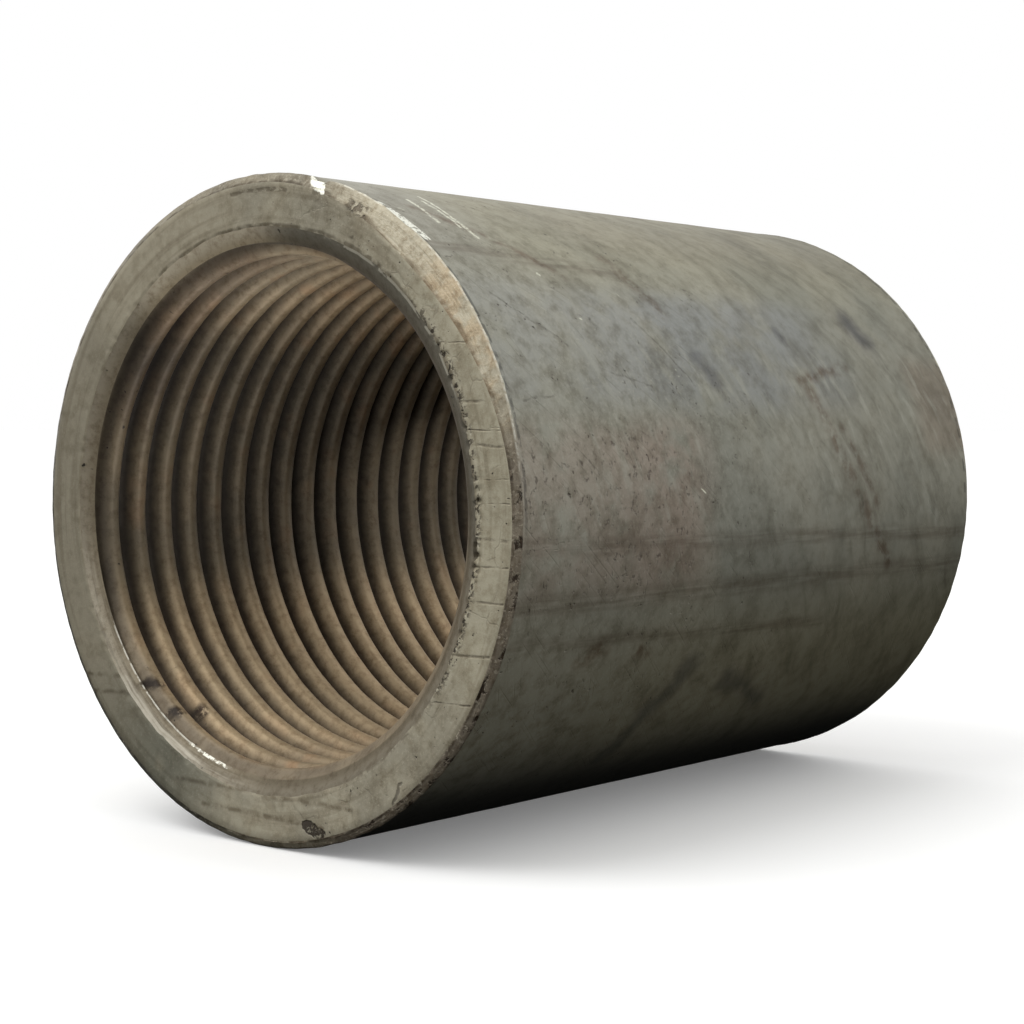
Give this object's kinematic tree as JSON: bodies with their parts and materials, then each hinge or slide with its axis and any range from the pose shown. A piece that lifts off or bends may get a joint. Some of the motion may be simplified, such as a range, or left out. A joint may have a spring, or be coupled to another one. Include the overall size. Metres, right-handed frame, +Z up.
{
  "type": "pipe coupling",
  "caption": "Straight round steel sleeve threaded right through its bore, with chamfered mouths, that joins two threaded pipes end to end.",
  "frame": {"origin": "middle of the bore, halfway between the two end faces", "axes": "+X along the bore's axis, +Z up, so that the sleeve lies on its side"},
  "size_m": [0.0508, 0.04, 0.04],
  "materials": {
    "steel": "bare mild steel, dull and weathered, with fine scratches, dark pits and a little brown rust"
  },
  "bodies": {
    "root": {"sleeve": "steel"}
  },
  "joints": []
}
